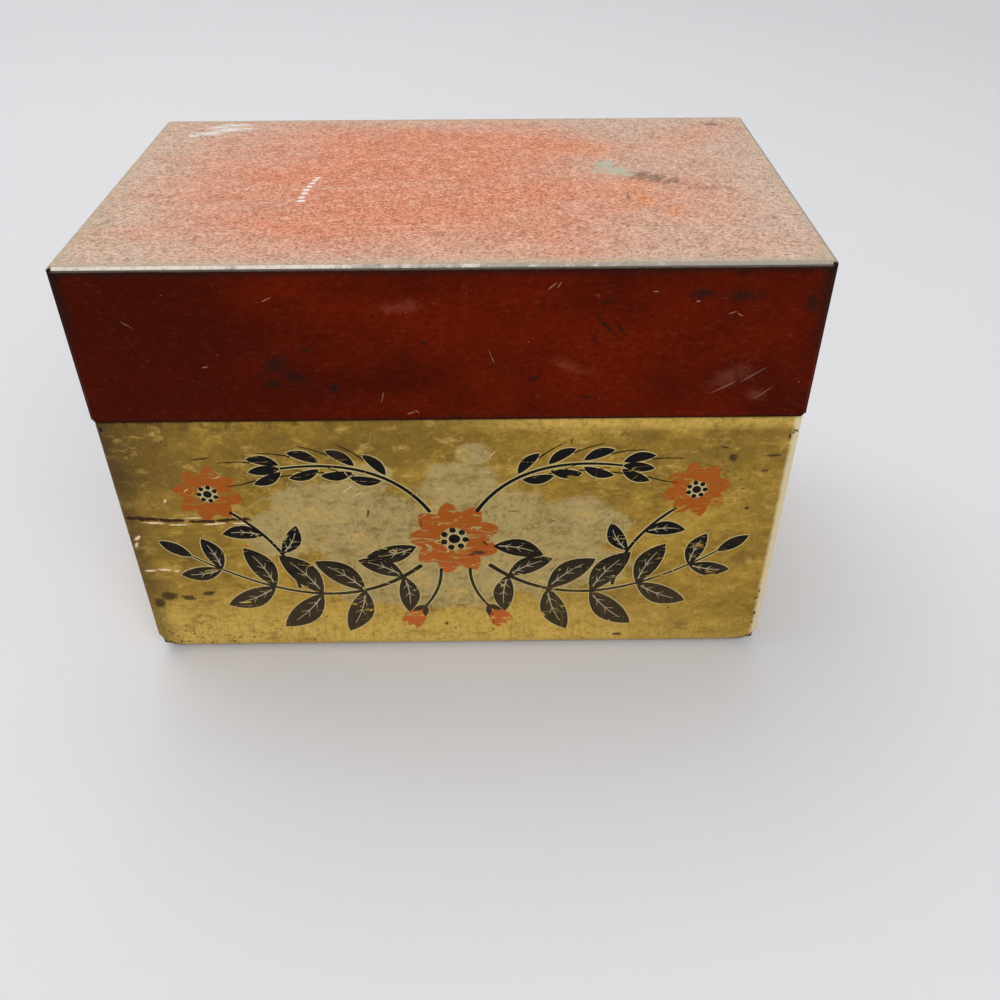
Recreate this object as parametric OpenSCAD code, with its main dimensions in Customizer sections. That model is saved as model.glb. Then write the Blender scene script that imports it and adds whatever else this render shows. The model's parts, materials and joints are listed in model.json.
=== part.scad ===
// Recipe card box of folded tinplate with a hinged lid.
// The origin is the middle of the underside, +Z is up and the front faces -Y.

/* [Body] */
// Outside width of the body
body_w = 132.1; // [100:0.1:180]
// Outside depth of the body
body_d = 80.1; // [60:0.1:130]
// Height of the body up to the top of the shoulder
body_h = 60.85; // [40:0.05:100]
// Thickness of the tinplate
sheet = 0.35; // [0.25:0.05:0.45]
// Outside radius of the upright bends of the body
corner_r = 1; // [0.8:0.1:2]
// Outside radius of the bends along the bottom
foot_r = 4; // [3:0.25:5]
// Flat width of the flange turned in under the base
flange_w = 4; // [3:0.5:8]
// How far the rounded notch in each bottom corner reaches past the bends
notch_extra = 4.5; // [3.5:0.5:6]
// Width of the laps of the side walls behind the back panel
lap_w = 8; // [5:0.5:14]
// Gap between edges of sheet that lie side by side
edge_gap = 0.3; // [0.2:0.05:0.5]

/* [Neck] */
// Height of the neck that stands inside the lid
neck_h = 4; // [3:0.25:4.5]
// Gap between the neck and the hem of the lid
neck_fit = 0.5; // [0.5:0.05:0.8]
// Depth of the hem folded in at the rim
rim_hem = 3; // [2:0.25:3]

/* [Base] */
// Height of the turned up wall of the base
base_wall_h = 9.2; // [9.2:0.2:14]
// How much rounder the upright corners of the base are than those of the walls
base_corner_extra = 0.5; // [0.3:0.1:1.5]
// Width of the sloping step round the pressed middle of the base
base_step_w = 1; // [0.8:0.1:2]
// Gap between the base and the walls round it
base_fit = 0.05; // [0.02:0.01:0.1]

/* [Lid] */
// Height of the lid
lid_h = 30.5; // [20:0.5:45]
// How far the lid stands out past each wall of the body
lid_proud = 0.35; // [0.3:0.05:0.45]
// Gap between the top of the shoulder and the lower edge of the lid
lid_gap = 0.2; // [0.2:0.05:0.4]
// Outside radius of the bends round the top of the lid
lid_edge_r = 0.7; // [0.6:0.1:1.5]
// Outside radius of the upright bends of the lid
lid_corner_r = 0.8; // [0.6:0.1:1.5]
// Open gap left above each upright bend of the lid
lid_relief = 1; // [0.8:0.1:2]
// Radius of the clipped lower corners of the lid
lid_clip_r = 1.5; // [1:0.25:3]
// Depth of the hem folded in at the lower edge of the lid
lid_hem = 4.5; // [3:0.25:5]
// Width of the corner tabs inside the lid
lid_tab_w = 8; // [5:0.5:14]

/* [Hinges] */
// Distance from the side of the body to the middle of each hinge
hinge_inset = 24; // [18:1:30]
// Width of each hinge
hinge_w = 22; // [18:1:30]
// Thickness of the hinge leaves
leaf_t = 0.45; // [0.35:0.05:0.6]
// Metal of the leaves left between a rivet head and the far edge
leaf_margin = 1.4; // [0.8:0.1:4]
// Radius of the rounded corners of the leaves
leaf_corner_r = 1.5; // [0.5:0.25:2.5]
// Diameter of the hinge pin
pin_d = 1.2; // [1:0.1:1.6]
// Radial clearance of the pin in its knuckles
pin_play = 0.05; // [0.03:0.01:0.08]
// Gap between moving parts of the hinge and what is beside them
hinge_gap = 0.3; // [0.3:0.05:0.5]
// How far the tops of the knuckles lie below the lower edge of the lid
knuckle_drop = 0.1; // [0.1:0.05:0.5]
// Length of the middle knuckle
middle_w = 9; // [6:0.5:12]
// How far the peened ends of the pin stand out past it
pin_end_rim = 0.3; // [0.15:0.05:0.4]
// Thickness of the peened ends of the pin
pin_end_t = 0.35; // [0.2:0.05:0.5]

/* [Rivets] */
// Diameter of the rivet shanks
rivet_d = 1.4; // [1:0.1:1.8]
// Diameter of the rivet heads
rivet_head_d = 2.8; // [2.4:0.1:3.4]
// Height of the rivet heads
rivet_head_h = 0.55; // [0.4:0.05:0.6]
// Diameter of the flattened tails inside
rivet_tail_d = 2.4; // [2.2:0.1:3]
// Thickness of the flattened tails inside
rivet_tail_h = 0.4; // [0.3:0.05:0.5]
// Distance of the rivets from the side edges of the leaf
rivet_inset = 4.5; // [3:0.5:6]
// Radial clearance of the rivets in their holes
rivet_play = 0.03; // [0.02:0.01:0.06]

/* [Hidden] */
$fn = 48;

// More than any size of the box, for cutters
far = body_w + body_d + body_h + lid_h;
// Extra length of a cutter past the face that it cuts
past = 1;

// Heights of the rim of the neck and of both ends of the lid
rim_z = body_h + neck_h;
lid_z = body_h + lid_gap;
lid_top_z = lid_z + lid_h;

lid_w = body_w + 2 * lid_proud;
lid_d = body_d + 2 * lid_proud;

// Hems and tabs reach this far into the wall that they are folded against
bite = sheet / 2;

notch_r = foot_r + notch_extra;
base_corner_r = corner_r + base_corner_extra;

// The lid is two sheets thick at its hem, and the neck is set in to clear that.
// The shoulder is one bend of this radius.
neck_step = 2 * sheet - lid_proud + neck_fit;

// The laps end just above the wall of the base
lap_z = base_wall_h + edge_gap;

bore_r = pin_d / 2 + pin_play;
knuckle_r = bore_r + leaf_t;
hinge_x = body_w / 2 - hinge_inset;
hinge_y = body_d / 2 + hinge_gap + knuckle_r;
hinge_z = lid_z - knuckle_r - knuckle_drop;

// The tails of the rivets lie just above the hem of the lid, and both leaves are alike
rivet_x = hinge_w / 2 - rivet_inset;
rivet_rise = lid_z - hinge_z + lid_hem + edge_gap + rivet_tail_d / 2;
leaf_h = rivet_rise + rivet_head_d / 2 + leaf_margin;

body_yellow = "#b8973f";
lid_red = "#8e3226";
bare_tin = "#8f8a80";
rusty_tin = "#4a352a";
hinge_steel = "#9a958b";

// Rectangle from [x0, y0] to [x1, y1] with round corners
module round_rect(x0, y0, x1, y1, r) {
    translate([x0 + r, y0]) square([x1 - x0 - 2 * r, y1 - y0]);
    translate([x0, y0 + r]) square([x1 - x0, y1 - y0 - 2 * r]);
    for (x = [x0 + r, x1 - r], y = [y0 + r, y1 - r]) {
        translate([x, y]) circle(r);
    }
}

// Turns an outline drawn in X and Z so that it runs along Y, and one drawn in Y and Z so
// that it runs along X
module along_y(length) {
    rotate([90, 0, 0]) linear_extrude(length, center = true) children();
}
module along_x(length) {
    rotate([90, 0, 90]) linear_extrude(length, center = true) children();
}

// Everything behind a wall from the height bottom up: wall, round shoulder and neck.
// Each layer of the sheet lies one thickness further in than the one before.
module behind_upper_wall(face, layer, bottom, top) {
    inset = layer * sheet;
    neck_x = face - neck_step;
    bend_z = body_h - neck_step;
    translate([-far, bottom]) square([far + face - inset, bend_z - bottom]);
    translate([neck_x, bend_z]) circle(neck_step - inset);
    translate([-far, bottom]) square([far + neck_x, body_h - inset - bottom]);
    translate([-far, bottom]) square([far + neck_x - inset, top - bottom]);
}

// Everything behind one wall, with the bend of its foot, up to the height top
module behind_wall(face, layer, top) {
    inset = layer * sheet;
    bend_x = face - foot_r;
    translate([-far, inset]) square([far + bend_x, foot_r]);
    translate([bend_x, foot_r]) circle(foot_r - inset);
    behind_upper_wall(face, layer, foot_r, top);
}

// Everything in front of the laps, which lie one layer inside the back panel
module behind_lap(layer, top) {
    behind_upper_wall(body_d / 2, layer + 1, layer * sheet, top);
}

// Block inside the four walls, with its upright corners rounded
module walled_block(layer, top) {
    r = corner_r - layer * sheet;
    x1 = body_w / 2 - layer * sheet;
    y0 = -body_d / 2 + layer * sheet;
    y1 = body_d / 2 - (layer + 1) * sheet;
    neck_z = body_h - layer * sheet;
    intersection() {
        along_y(far) behind_wall(body_w / 2, layer, top);
        along_y(far) mirror([1, 0]) behind_wall(body_w / 2, layer, top);
        along_x(far) behind_lap(layer, top);
        along_x(far) mirror([1, 0]) behind_wall(body_d / 2, layer, top);
        union() {
            linear_extrude(neck_z) round_rect(-x1, y0, x1, y1, r);
            translate([0, 0, foot_r]) linear_extrude(top - foot_r)
                round_rect(-x1 + neck_step, y0 + neck_step, x1 - neck_step, y1 - neck_step, r);
        }
    }
}

// What is cut away in the two lower corners at the front (end = -1) or back (end = 1): all
// but the round ends, of radius r, of the long wall, of the side walls or of both, which
// reach in by depth
module corner_notch(w, d, z, r, depth, end, keep_long, keep_side) {
    translate([0, 0, z]) for (x = [-1, 1]) scale([x, end, 1])
        translate([w / 2 - r, d / 2 - r, 0]) difference() {
            translate([0, 0, -past]) cube([r + past, r + past, r + past]);
            if (keep_long)
                translate([0, r - depth, r]) rotate([-90, 0, 0]) cylinder(depth + 2 * past, r = r);
            if (keep_side)
                translate([r - depth, 0, r]) rotate([0, 90, 0]) cylinder(depth + 2 * past, r = r);
        }
}

// Corner between two flanges, which end just short of each other
module flange_corners() {
    reach = flange_w + edge_gap;
    for (x = [-1, 1], y = [-1, 1]) scale([x, y, 1])
        translate([body_w / 2 - foot_r - reach, body_d / 2 - foot_r - reach, -past])
            cube([reach, reach, foot_r + past]);
}

// Hem folded in along one wall of the neck: a strip from -half to half
module rim_hem_strip(half, face, layer) {
    outer = face - neck_step - (layer + 1) * sheet;
    translate([-half, outer - sheet, rim_z - rim_hem]) cube([2 * half, sheet + bite, rim_hem]);
}

// Front and side walls in one sheet, with laps behind the back panel
module body_wrap() {
    side_half = body_d / 2 - neck_step - corner_r - 3 * sheet;
    front_half = body_w / 2 - neck_step - corner_r - 2 * sheet;
    lap_x = body_w / 2 - corner_r - lap_w;
    flange = foot_r + flange_w;
    color(body_yellow) difference() {
        union() {
            difference() {
                walled_block(0, rim_z);
                walled_block(1, rim_z + past);
            }
            mirror([0, 1, 0]) rim_hem_strip(front_half, body_d / 2, 0);
            for (a = [-90, 90]) rotate([0, 0, a]) rim_hem_strip(side_half, body_w / 2, 0);
        }
        translate([-lap_x, 0, -past]) cube([2 * lap_x, body_d, far]);
        translate([-body_w, body_d / 2 - sheet - corner_r, -past])
            cube([2 * body_w, body_d, lap_z + past]);
        translate([flange - body_w / 2, flange - body_d / 2, -past])
            cube([body_w - 2 * flange, body_d, foot_r]);
        corner_notch(body_w, body_d, 0, notch_r, foot_r, -1, true, true);
        corner_notch(body_w, body_d, 0, notch_r, foot_r, 1, false, true);
        flange_corners();
    }
}

// Back wall, lapped over the side walls, with the same foot, shoulder and neck
module back_panel() {
    half = body_w / 2 - corner_r;
    hem_half = half - neck_step - lap_w;
    color(body_yellow) difference() {
        union() {
            intersection() {
                along_x(2 * half) difference() {
                    behind_wall(body_d / 2, 0, rim_z);
                    behind_wall(body_d / 2, 1, rim_z + past);
                }
                translate([-far / 2, body_d / 2 - foot_r - flange_w, -past]) cube(far);
            }
            rim_hem_strip(hem_half, body_d / 2, 0);
        }
        for (x = [-1, 1]) scale([x, 1, 1])
            translate([half - neck_step, 0, body_h]) cube([far, far, far]);
        corner_notch(body_w, body_d, 0, notch_r, foot_r, 1, true, false);
        flange_corners();
        rivet_places(-1) rivet_hole();
    }
}

// Section of the base between low and high: bends, wall and the step of the pressed middle
module base_section(half, inset, top) {
    r = foot_r - sheet;
    edge = half - sheet - base_fit;
    middle = half - foot_r - flange_w - base_step_w - edge_gap;
    translate([0, inset]) polygon([
        [-middle, 0], [middle, 0], [middle + base_step_w, sheet], [middle + base_step_w, foot_r],
        [-middle - base_step_w, foot_r], [-middle - base_step_w, sheet]
    ]);
    translate([-edge + r, sheet + inset]) square([2 * (edge - r), foot_r]);
    for (x = [-1, 1]) translate([x * (edge - r), foot_r]) circle(r - inset);
    translate([-edge + inset, foot_r]) square([2 * (edge - inset), top - foot_r]);
}

// Block in the outline of the base, moved in by inset
module base_block(inset, top) {
    x1 = body_w / 2 - sheet - base_fit - inset;
    y1 = body_d / 2 - sheet - base_fit - inset;
    intersection() {
        along_y(far) base_section(body_w / 2, inset, top);
        along_x(far) base_section(body_d / 2, inset, top);
        linear_extrude(top) round_rect(-x1, -y1, x1, y1, base_corner_r - inset);
    }
}

// Pressed base that stands on the flanges, its middle level with them underneath
module base_pan() {
    color(rusty_tin) difference() {
        base_block(0, base_wall_h);
        base_block(sheet, base_wall_h + past);
    }
}

// Section of the lid across two opposite skirts
module lid_section(width, inset) {
    half = width / 2 - inset;
    r = lid_edge_r - inset;
    top = lid_top_z - inset;
    translate([-half, lid_z - inset]) square([2 * half, top - r - lid_z + inset]);
    translate([-half + r, lid_z]) square([2 * (half - r), top - lid_z]);
    for (x = [-1, 1]) translate([x * (half - r), top - r]) circle(r);
}

// Flat channel of the lid: top and two opposite skirts
module lid_sheet(width) {
    difference() {
        lid_section(width, 0);
        lid_section(width, sheet);
    }
}

// Upright bend of a long skirt and the tab that it carries inside the side skirt
module lid_corner_tab() {
    height = lid_h - lid_relief;
    x = lid_w / 2 - sheet - lid_corner_r;
    y = lid_d / 2 - lid_corner_r;
    translate([x, y, lid_z]) {
        intersection() {
            difference() {
                cylinder(height, r = lid_corner_r);
                translate([0, 0, -past]) cylinder(height + 2 * past, r = lid_corner_r - sheet);
            }
            cube([lid_corner_r, lid_corner_r, height]);
        }
        translate([lid_corner_r - sheet, lid_corner_r - lid_tab_w, 0])
            cube([sheet + bite, lid_tab_w - lid_corner_r, height]);
    }
}

// Lid folded from one sheet, with hems and corner tabs inside
module lid_shell() {
    long_half = lid_w / 2 - sheet - lid_corner_r;
    hem_x = lid_w / 2 - 2 * sheet;
    hem_y = lid_d / 2 - 2 * sheet;
    long_hem_half = hem_x - edge_gap;
    side_hem_half = lid_d / 2 - lid_tab_w - edge_gap;
    color(lid_red) difference() {
        union() {
            along_x(2 * long_half) lid_sheet(lid_d);
            along_y(lid_d - 2 * lid_corner_r) lid_sheet(lid_w);
            for (x = [-1, 1], y = [-1, 1]) scale([x, y, 1]) lid_corner_tab();
            for (y = [-1, 1]) scale([1, y, 1]) translate([-long_hem_half, hem_y, lid_z])
                cube([2 * long_hem_half, sheet + bite, lid_hem]);
            for (x = [-1, 1]) scale([x, 1, 1]) translate([hem_x, -side_hem_half, lid_z])
                cube([sheet + bite, 2 * side_hem_half, lid_hem]);
        }
        for (end = [-1, 1])
            corner_notch(lid_w, lid_d, lid_z, lid_clip_r, 2 * sheet, end, true, true);
        rivet_places(1) rivet_hole();
    }
}

// Each place of a rivet on the outer face of the leaves, above (1) or below (-1) the axis
module rivet_places(side) {
    face = side > 0 ? lid_d / 2 + leaf_t : body_d / 2 + leaf_t;
    for (x = [-1, 1], u = [-1, 1])
        translate([x * hinge_x + u * rivet_x, face, hinge_z + side * rivet_rise])
            rotate([-90, 0, 0]) children();
}

// Hole for a rivet through a leaf and the sheet behind it
module rivet_hole() {
    translate([0, 0, -leaf_t - 2 * past]) cylinder(leaf_t + 3 * past, r = rivet_d / 2 + rivet_play);
}

// Rivet with a domed head outside and a flattened tail inside
module rivet() {
    grip = leaf_t + sheet;
    // The head is a cap cut from a ball of this radius
    ball_r = (pow(rivet_head_d / 2, 2) + pow(rivet_head_h, 2)) / (2 * rivet_head_h);
    rotate_extrude() intersection() {
        translate([0, rivet_head_h - ball_r]) circle(ball_r);
        square([rivet_head_d, rivet_head_h]);
    }
    translate([0, 0, -grip - rivet_tail_h / 2]) cylinder(grip + rivet_tail_h, d = rivet_d);
    translate([0, 0, -grip - rivet_tail_h]) cylinder(rivet_tail_h, d = rivet_tail_d);
}

// Flat leaf with two round corners at its far edge, from z = 0 to z = height
module leaf_plate(height) {
    translate([0, leaf_t, 0]) rotate([90, 0, 0]) linear_extrude(leaf_t) {
        translate([-hinge_w / 2, 0]) square([hinge_w, height - leaf_corner_r]);
        translate([leaf_corner_r - hinge_w / 2, 0]) square([hinge_w - 2 * leaf_corner_r, height]);
        for (x = [-1, 1])
            translate([x * (hinge_w / 2 - leaf_corner_r), height - leaf_corner_r])
                circle(leaf_corner_r);
    }
}

// Knuckle on the hinge axis between two places along it
module knuckle(from, to) {
    translate([from, hinge_y, hinge_z]) rotate([0, 90, 0]) cylinder(to - from, r = knuckle_r);
}

module pin_bore() {
    translate([-hinge_w, hinge_y, hinge_z]) rotate([0, 90, 0]) cylinder(2 * hinge_w, r = bore_r);
}

// Leaf on the back of the body, with the two outer knuckles
module body_leaf(side) {
    plate_top = hinge_z - knuckle_r - hinge_gap;
    arm_w = (hinge_w - middle_w) / 2 - hinge_gap;
    inner = hinge_y - knuckle_r;
    color(hinge_steel) difference() {
        translate([side * hinge_x, 0, 0]) difference() {
            union() {
                translate([0, body_d / 2, plate_top]) mirror([0, 0, 1])
                    leaf_plate(plate_top - hinge_z + leaf_h);
                for (x = [-1, 1]) scale([x, 1, 1]) {
                    knuckle(hinge_w / 2 - arm_w, hinge_w / 2);
                    // The arm steps out from the wall to the inner side of the knuckle
                    translate([hinge_w / 2 - arm_w / 2, 0, 0]) along_x(arm_w) polygon([
                        [body_d / 2, plate_top - leaf_t], [body_d / 2, plate_top],
                        [inner, hinge_z - knuckle_r / 2], [inner, hinge_z],
                        [inner + leaf_t, hinge_z], [inner + leaf_t, hinge_z - knuckle_r],
                        [body_d / 2 + leaf_t, plate_top - leaf_t]
                    ]);
                }
            }
            pin_bore();
        }
        rivet_places(-1) rivet_hole();
    }
}

// Leaf on the back of the lid, with the middle knuckle
module lid_leaf(side) {
    plate_bottom = hinge_z + knuckle_r + hinge_gap;
    color(hinge_steel) difference() {
        translate([side * hinge_x, 0, 0]) difference() {
            union() {
                translate([0, lid_d / 2, plate_bottom]) leaf_plate(hinge_z + leaf_h - plate_bottom);
                knuckle(-middle_w / 2, middle_w / 2);
                translate([-middle_w / 2, lid_d / 2, hinge_z])
                    cube([middle_w, leaf_t, plate_bottom - hinge_z + leaf_t]);
            }
            pin_bore();
        }
        rivet_places(1) rivet_hole();
    }
}

// Hinge pin with both ends peened over
module hinge_pin(side) {
    end = hinge_w / 2 + pin_play;
    color(bare_tin) translate([side * hinge_x, hinge_y, hinge_z]) rotate([0, 90, 0]) {
        cylinder(2 * end + pin_end_t, d = pin_d, center = true);
        for (x = [-1, 1]) translate([0, 0, x * (end + pin_end_t / 2)])
            cylinder(pin_end_t, r = pin_d / 2 + pin_end_rim, center = true);
    }
}

body_wrap();
back_panel();
base_pan();
lid_shell();
body_leaf(-1);  // left_body_leaf
body_leaf(1);  // right_body_leaf
lid_leaf(-1);  // left_lid_leaf
lid_leaf(1);  // right_lid_leaf
hinge_pin(-1);  // left_hinge_pin
hinge_pin(1);  // right_hinge_pin
color(bare_tin) rivet_places(-1) rivet();  // body_leaf_rivets
color(bare_tin) rivet_places(1) rivet();  // lid_leaf_rivets
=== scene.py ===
# Finishes, front print, stage and camera for the recipe card box
import json
import math

import bmesh
import bpy
from mathutils import Matrix, Vector


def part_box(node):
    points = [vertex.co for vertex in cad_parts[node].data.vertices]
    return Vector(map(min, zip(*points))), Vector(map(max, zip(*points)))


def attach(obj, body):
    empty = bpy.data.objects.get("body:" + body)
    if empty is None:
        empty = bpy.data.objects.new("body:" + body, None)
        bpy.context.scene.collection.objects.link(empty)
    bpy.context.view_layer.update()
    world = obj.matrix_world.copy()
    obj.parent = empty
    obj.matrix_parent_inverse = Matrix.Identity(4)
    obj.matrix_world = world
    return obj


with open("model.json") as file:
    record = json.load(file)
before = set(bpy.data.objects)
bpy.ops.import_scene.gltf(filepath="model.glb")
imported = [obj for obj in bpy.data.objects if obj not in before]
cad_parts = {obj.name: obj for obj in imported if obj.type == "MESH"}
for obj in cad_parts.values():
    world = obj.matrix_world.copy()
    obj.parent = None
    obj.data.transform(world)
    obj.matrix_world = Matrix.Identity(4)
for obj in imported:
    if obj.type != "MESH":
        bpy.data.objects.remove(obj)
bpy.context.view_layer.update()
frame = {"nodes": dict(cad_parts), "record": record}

bl_info = {
    "name": "Recipe Card Box",
    "version": (1, 0, 0),
    "blender": (4, 5, 0),
    "location": "3D View > Sidebar > Card Box",
    "description": "Gives a folded tin card box its worn enamel, its printed front and a plain studio",
    "category": "Object",
}

MM = 0.001
SLOTS = {part["node"]: part["material_slot"] for part in frame["record"]["subparts"]}

# Corners of the lid, the walls, the back panel and the base in millimetres, from the frame
LID_LOW, LID_HIGH = (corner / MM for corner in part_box("lid_shell"))
WALL_LOW, WALL_HIGH = (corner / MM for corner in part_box("body_wrap"))
BACK_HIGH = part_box("back_panel")[1] / MM
PAN_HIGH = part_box("base_pan")[1] / MM

# Thickness of the tinplate
SHEET = 0.35
# Depths of the hems folded in at the lower edge of the lid and at the rim of the neck
LID_HEM = 4.5
RIM_HEM = 3.0
# The neck is set in by this much, and stands this high
NECK_STEP = 0.85
NECK_HEIGHT = 4.0
# Radii of the bends of the lid, of the upright bends of the walls and of the foot of the walls
LID_BEND = 0.8
BODY_BEND = 1.0
FOOT_BEND = 4.0
# Depths inside the sheet between which the enamel gives way to bare tin
SKIN_START = 0.2
SKIN_END = 0.3


def paint(red, green, blue):
    """Colour as written on a paint chart, from 0 to 255, turned into linear light"""
    levels = [part / 255 for part in (red, green, blue)]
    return tuple(v / 12.92 if v <= 0.04045 else ((v + 0.055) / 1.055) ** 2.4 for v in levels)


def colour_of(name, description, red, green, blue):
    """Colour property with its default given as paint"""
    return bpy.props.FloatVectorProperty(
        name=name, description=description, default=paint(red, green, blue),
        subtype="COLOR", min=0.0, max=1.0,
    )


def length_of(name, description, default):
    """Length property in metres"""
    return bpy.props.FloatProperty(name=name, description=description, default=default, unit="LENGTH")


def angle_of(name, description, degrees):
    """Angle property with its default given in degrees"""
    return bpy.props.FloatProperty(
        name=name, description=description, default=math.radians(degrees), unit="ROTATION",
    )


def power_of(name, description, watts):
    """Lamp power property in watts"""
    return bpy.props.FloatProperty(name=name, description=description, default=watts, unit="POWER")


class CardBoxLidPaint(bpy.types.PropertyGroup):
    """Colours of the lid"""
    deep_red: colour_of("Deep red", "Enamel where the light has not bleached it", 98, 20, 0)
    brown_red: colour_of("Brown red", "Enamel where it has darkened", 62, 10, 0)
    soot: colour_of("Soot", "Fine dirt in the enamel of the skirts", 34, 9, 0)
    # Coral and tan are partly painted sheen: they make the top much lighter than the same enamel on the
    # skirts
    coral_and_sheen: colour_of("Coral", "Bleached enamel in the middle of the top", 219, 139, 109)
    tan: colour_of("Tan", "Dusty enamel towards the rim of the top", 204, 178, 160)
    haze: colour_of("Haze", "Greyish film along the rim and in the left front corner", 186, 174, 148)
    halo: colour_of("Halo", "Orange stain round the bare patch", 226, 146, 96)
    mint: colour_of("Mint grey", "Bare patch on the top", 178, 182, 160)
    lint: colour_of("Lint", "Light filaments and scratches on the top", 244, 206, 178)
    smear: colour_of("Smear", "Dark smear beside the bare patch", 104, 88, 68)
    scuff: colour_of("Scuff", "White scuff at the left rear corner of the top", 228, 226, 222)
    dashes: colour_of("Dashes", "Row of small white dashes on the top", 238, 234, 236)
    bead: colour_of("Bead", "Worn white line along the rim", 226, 216, 202)


class CardBoxBodyPaint(bpy.types.PropertyGroup):
    """Colours of the body"""
    mustard: colour_of("Mustard", "Sound enamel of the body", 175, 139, 55)
    # Olive also paints shade towards the top and the upper left of the walls
    olive: colour_of("Olive", "Darkened enamel of the body", 124, 97, 36)
    # Near the foot this is painted light, and under the shoulder a painted highlight
    gold_and_painted_light: colour_of("Gold", "Bright enamel near the foot and the shoulder", 202, 167, 82)
    khaki: colour_of("Khaki", "Bleached patch in the middle of the front", 170, 150, 100)
    # Along the right upright bends cream is also a painted highlight
    cream_and_highlight: colour_of("Cream", "Enamel worn thin along the upright bends", 214, 200, 160)
    # Stain also paints shade at the upper left, under the lid and along the left upright bends
    stain: colour_of("Stain", "Brown stains", 64, 46, 26)
    flake: colour_of("Flake", "Light flakes and the lips of scratches", 222, 200, 160)


class CardBoxInk(bpy.types.PropertyGroup):
    """Colours and sizes of the front print"""
    black: colour_of("Black", "Leaves, stems and ears", 16, 13, 12)
    brown: colour_of("Brown", "Black ink where it has faded", 58, 48, 32)
    orange: colour_of("Orange", "Petals", 156, 80, 22)
    pink: colour_of("Pink", "Petals where they have faded", 180, 92, 42)
    rib: colour_of("Rib", "Light midribs of the leaves", 168, 156, 122)
    halo: colour_of("Halo", "Pale rim round the black shapes", 190, 172, 118)
    film: length_of("Film", "Thickness of one layer of ink", 0.000015)
    leaflet: length_of("Leaflet", "Longest leaflet of a fern", 0.0135)
    flower: length_of("Flower", "Radius of the middle flower", 0.0095)
    grain: length_of("Grain", "Length of a grain in an ear", 0.0064)


class CardBoxMetalPaint(bpy.types.PropertyGroup):
    """Colours of bare metal, rust and dirt"""
    tin: colour_of("Tin", "Plain tinplate", 172, 168, 160)
    dull_tin: colour_of("Dull tin", "Tinplate where it has gone dull", 120, 115, 106)
    steel: colour_of("Steel", "Steel of the hinges", 158, 152, 142)
    rust: colour_of("Rust", "Fresh rust", 122, 68, 34)
    # Along the foot of the walls this also paints shade
    dark_rust_and_shade: colour_of("Dark rust", "Old rust", 58, 34, 22)
    grime: colour_of("Grime", "Dirt in corners and along edges", 30, 20, 14)


class CardBoxStudio(bpy.types.PropertyGroup):
    """Camera, floor and lamps"""
    eye: bpy.props.FloatVectorProperty(
        name="Eye", description="Place of the camera",
        default=(0.00797, -0.1938, 0.16025), subtype="TRANSLATION",
    )
    pitch: angle_of("Pitch", "Angle that the camera looks down by", 37.596)
    turn: angle_of("Turn", "Angle that the camera looks to the right by", 0.503)
    roll: angle_of("Roll", "Angle that the camera leans by", -0.263)
    lens: bpy.props.FloatProperty(name="Lens", description="Focal length in millimetres", default=35.344)
    floor_colour: colour_of("Floor", "Colour of the floor and backdrop", 226, 226, 228)
    floor_radius: length_of("Floor radius", "Distance from the box to the backdrop", 1.1)
    key_power: power_of("Key lamp", "Power of the large lamp above the box", 5.0)
    fill_power: power_of("Fill lamp", "Power of the lamp in front of the box", 8.0)
    sky: bpy.props.FloatProperty(name="Sky", description="Strength of the light from all round", default=0.3)


def lid_paint():
    return bpy.context.scene.card_box_lid


def body_paint():
    return bpy.context.scene.card_box_body


def ink_settings():
    return bpy.context.scene.card_box_ink


def metal_paint():
    return bpy.context.scene.card_box_metal


def studio():
    return bpy.context.scene.card_box_studio


class Field:
    """Number that changes over a surface. Arithmetic with it adds Math nodes to its tree."""

    def __init__(self, tree, socket):
        self.tree = tree
        self.socket = socket

    def math(self, operation, *values, clamp=False):
        node = self.tree.nodes.new("ShaderNodeMath")
        node.operation = operation
        node.use_clamp = clamp
        for socket, value in zip(node.inputs, values):
            feed(self.tree, socket, value)
        return Field(self.tree, node.outputs[0])

    def __add__(self, other):
        return self.math("ADD", self, other)

    __radd__ = __add__

    def __sub__(self, other):
        return self.math("SUBTRACT", self, other)

    def __rsub__(self, other):
        return self.math("SUBTRACT", other, self)

    def __mul__(self, other):
        return self.math("MULTIPLY", self, other)

    __rmul__ = __mul__

    def __abs__(self):
        return self.math("ABSOLUTE", self)

    def least(self, other):
        return self.math("MINIMUM", self, other)

    def most(self, other):
        return self.math("MAXIMUM", self, other)

    def root(self):
        return self.math("SQRT", self)

    def kept(self):
        """The same number held between 0 and 1"""
        return self.math("ADD", self, 0.0, clamp=True)

    def ramp(self, low, high):
        """0 at low and 1 at high, with a soft rise between them. low may be the larger."""
        node = self.tree.nodes.new("ShaderNodeMapRange")
        node.interpolation_type = "SMOOTHSTEP"
        feed(self.tree, node.inputs["Value"], self)
        feed(self.tree, node.inputs["From Min"], low)
        feed(self.tree, node.inputs["From Max"], high)
        return Field(self.tree, node.outputs["Result"])


def feed(tree, socket, value):
    """Joins a field or socket to an input, or writes a plain value into it"""
    if isinstance(value, Field):
        tree.links.new(value.socket, socket)
    elif isinstance(value, bpy.types.NodeSocket):
        tree.links.new(value, socket)
    elif socket.type == "RGBA":
        socket.default_value = (*value, 1.0)
    else:
        socket.default_value = value
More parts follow.
